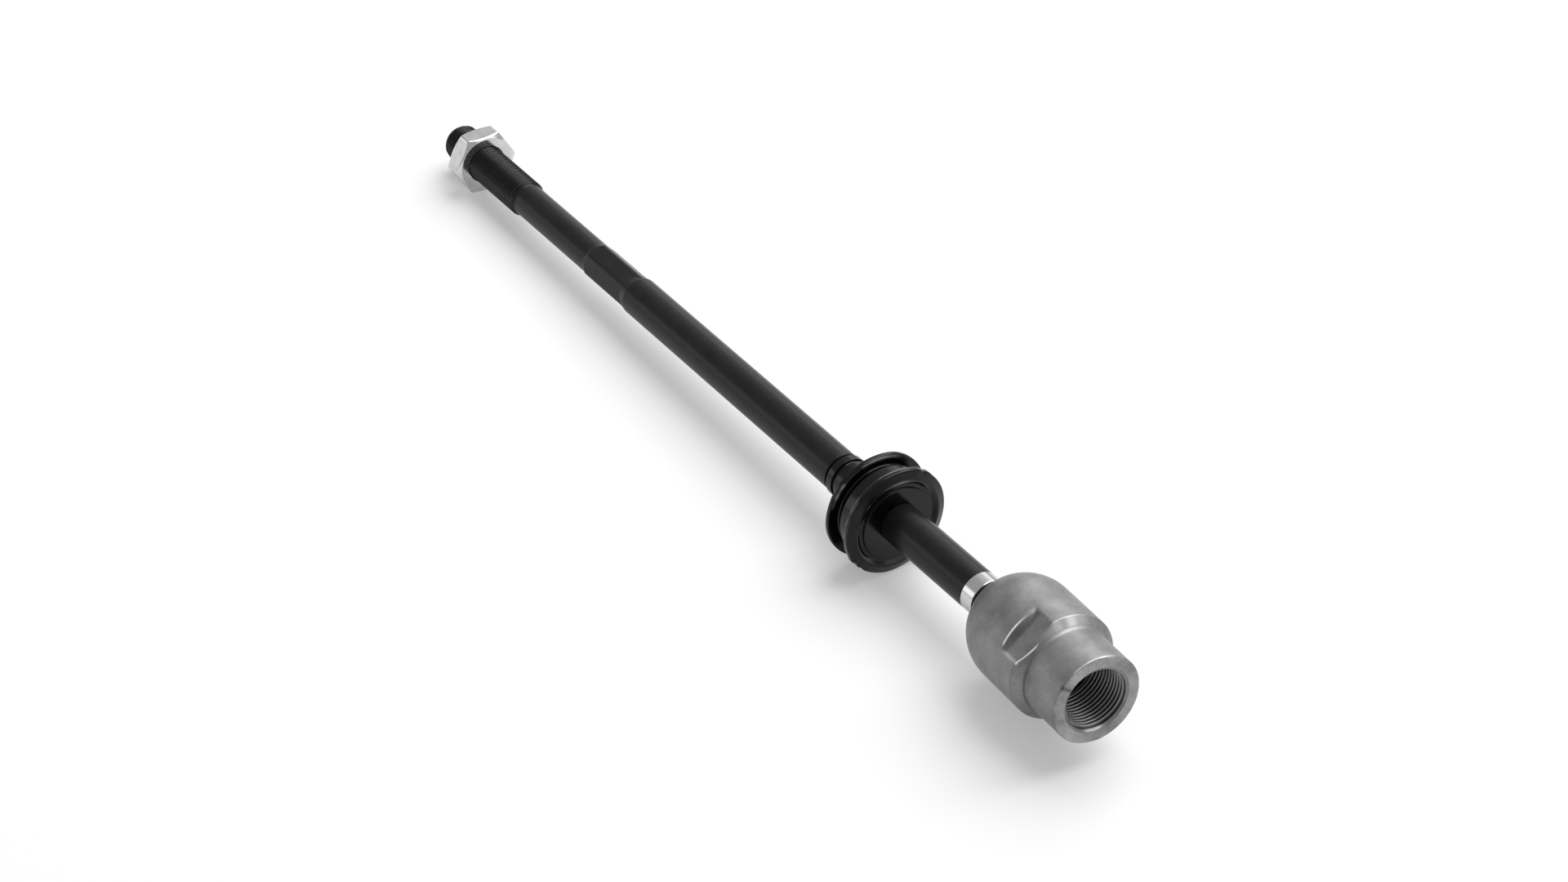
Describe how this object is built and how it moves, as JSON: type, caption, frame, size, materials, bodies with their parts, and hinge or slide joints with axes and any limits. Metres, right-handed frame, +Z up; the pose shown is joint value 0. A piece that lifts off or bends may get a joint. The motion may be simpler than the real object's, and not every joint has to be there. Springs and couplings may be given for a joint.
{
  "type": "inner tie rod",
  "caption": "Steering inner tie rod: ball-ended shank with spanner hexagon, threaded end, jam nut and rubber gaiter bush, in a socket with a threaded neck.",
  "frame": {"origin": "on the ground, under the middle of the bounding box of the object as it lies", "axes": "+X horizontally along the rod from the threaded end towards the socket, +Z up"},
  "size_m": [0.3986, 0.0391, 0.0416],
  "materials": {
    "coated_steel": "satin black phosphate and oil, bright turned band at the socket",
    "zinc_steel": "bright zinc plate",
    "black_rubber": "semi-gloss moulded",
    "forged_steel": "matt blasted forging, turned mouth",
    "seat_plastic": "moulded acetal"
  },
  "bodies": {
    "housing": {"socket_housing": "forged_steel"},
    "seat": {"ball_seat": "seat_plastic"},
    "bush": {"gaiter_bush": "black_rubber"},
    "rod": {"tie_rod": "coated_steel"},
    "nut": {"jam_nut": "zinc_steel"}
  },
  "joints": [
    {"name": "seat_turn", "type": "hinge", "parent": "housing", "child": "seat", "pos_m": [0.15742, 0.00045, 0.02161], "axis": [0.994, -0.0782, 0.0762], "continuous": true},
    {"name": "rod_tilt", "type": "hinge", "parent": "seat", "child": "bush", "pos_m": [0.15742, 0.00045, 0.02161], "axis": [0.0267, -0.5024, -0.8642], "range_deg": [-14.81, 25.19]},
    {"name": "rod_spin", "type": "hinge", "parent": "bush", "child": "rod", "pos_m": [0.15742, 0.00045, 0.02161], "axis": [0.9995, 0, 0.0309], "range_deg": [-7200, 2880]},
    {"name": "nut_travel", "type": "slide", "parent": "bush", "child": "nut", "axis": [0.9995, 0, 0.0309], "range_m": [-0.0121, 0.0301]}
  ],
  "couplings": [
    {"joint": "nut_travel", "follows": "rod_spin", "m_per_rad": -0.00023873}
  ]
}
